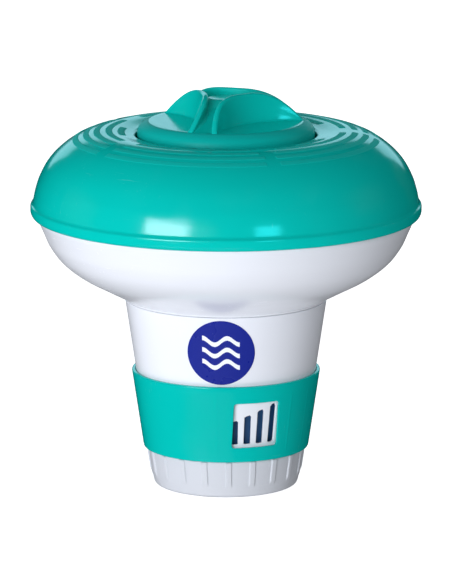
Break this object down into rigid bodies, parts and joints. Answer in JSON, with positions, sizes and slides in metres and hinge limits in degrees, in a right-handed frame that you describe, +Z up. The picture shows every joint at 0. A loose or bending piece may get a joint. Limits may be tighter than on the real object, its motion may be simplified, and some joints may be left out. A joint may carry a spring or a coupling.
{
  "type": "floating chlorine dispenser",
  "caption": "Floating pool chlorine dispenser: domed float, lobed bayonet cap, slotted tapered neck with a turning dosing collar, and a ribbed base cup.",
  "frame": {"origin": "centre of the base cup's flat underside", "axes": "+Z up along the axis of the neck, -Y through the middle of the front dosing window when it is fully open"},
  "size_m": [0.205, 0.205, 0.2095],
  "materials": {
    "teal_plastic": "glossy moulded plastic, sea green",
    "white_plastic": "glossy moulded plastic, cool white",
    "navy_plastic": "satin moulded plastic, dark blue",
    "label_print": "printed vinyl label, navy with pale waves",
    "seal_rubber": "soft black rubber",
    "ballast_steel": "zinc coated steel"
  },
  "bodies": {
    "root": {"top_float_shell": "teal_plastic", "bottom_float_shell": "white_plastic", "rim_seal": "seal_rubber", "throat_tube": "white_plastic", "throat_seal_upper": "seal_rubber", "throat_seal_lower": "seal_rubber", "dosing_neck": "white_plastic", "base_cup": "white_plastic", "ballast_ring": "ballast_steel", "ballast_cover": "white_plastic", "tablet_basket": "navy_plastic", "neck_label": "label_print"},
    "collar": {"dosing_collar": "teal_plastic"},
    "cap_seal": {"cap_gasket": "seal_rubber"},
    "cap": {"cap_cover": "teal_plastic", "cap_lock_ring": "white_plastic"}
  },
  "joints": [
    {"name": "collar_turn", "type": "hinge", "parent": "root", "child": "collar", "pos_m": [0, 0, 0.04], "axis": [0, 0, 1], "range_deg": [-62, 0]},
    {"name": "cap_lift", "type": "slide", "parent": "root", "child": "cap_seal", "axis": [0, 0, 1], "range_m": [0, 0.06]},
    {"name": "cap_turn", "type": "hinge", "parent": "cap_seal", "child": "cap", "pos_m": [0, 0, 0.19], "axis": [0, 0, 1], "range_deg": [-60, 0]}
  ]
}
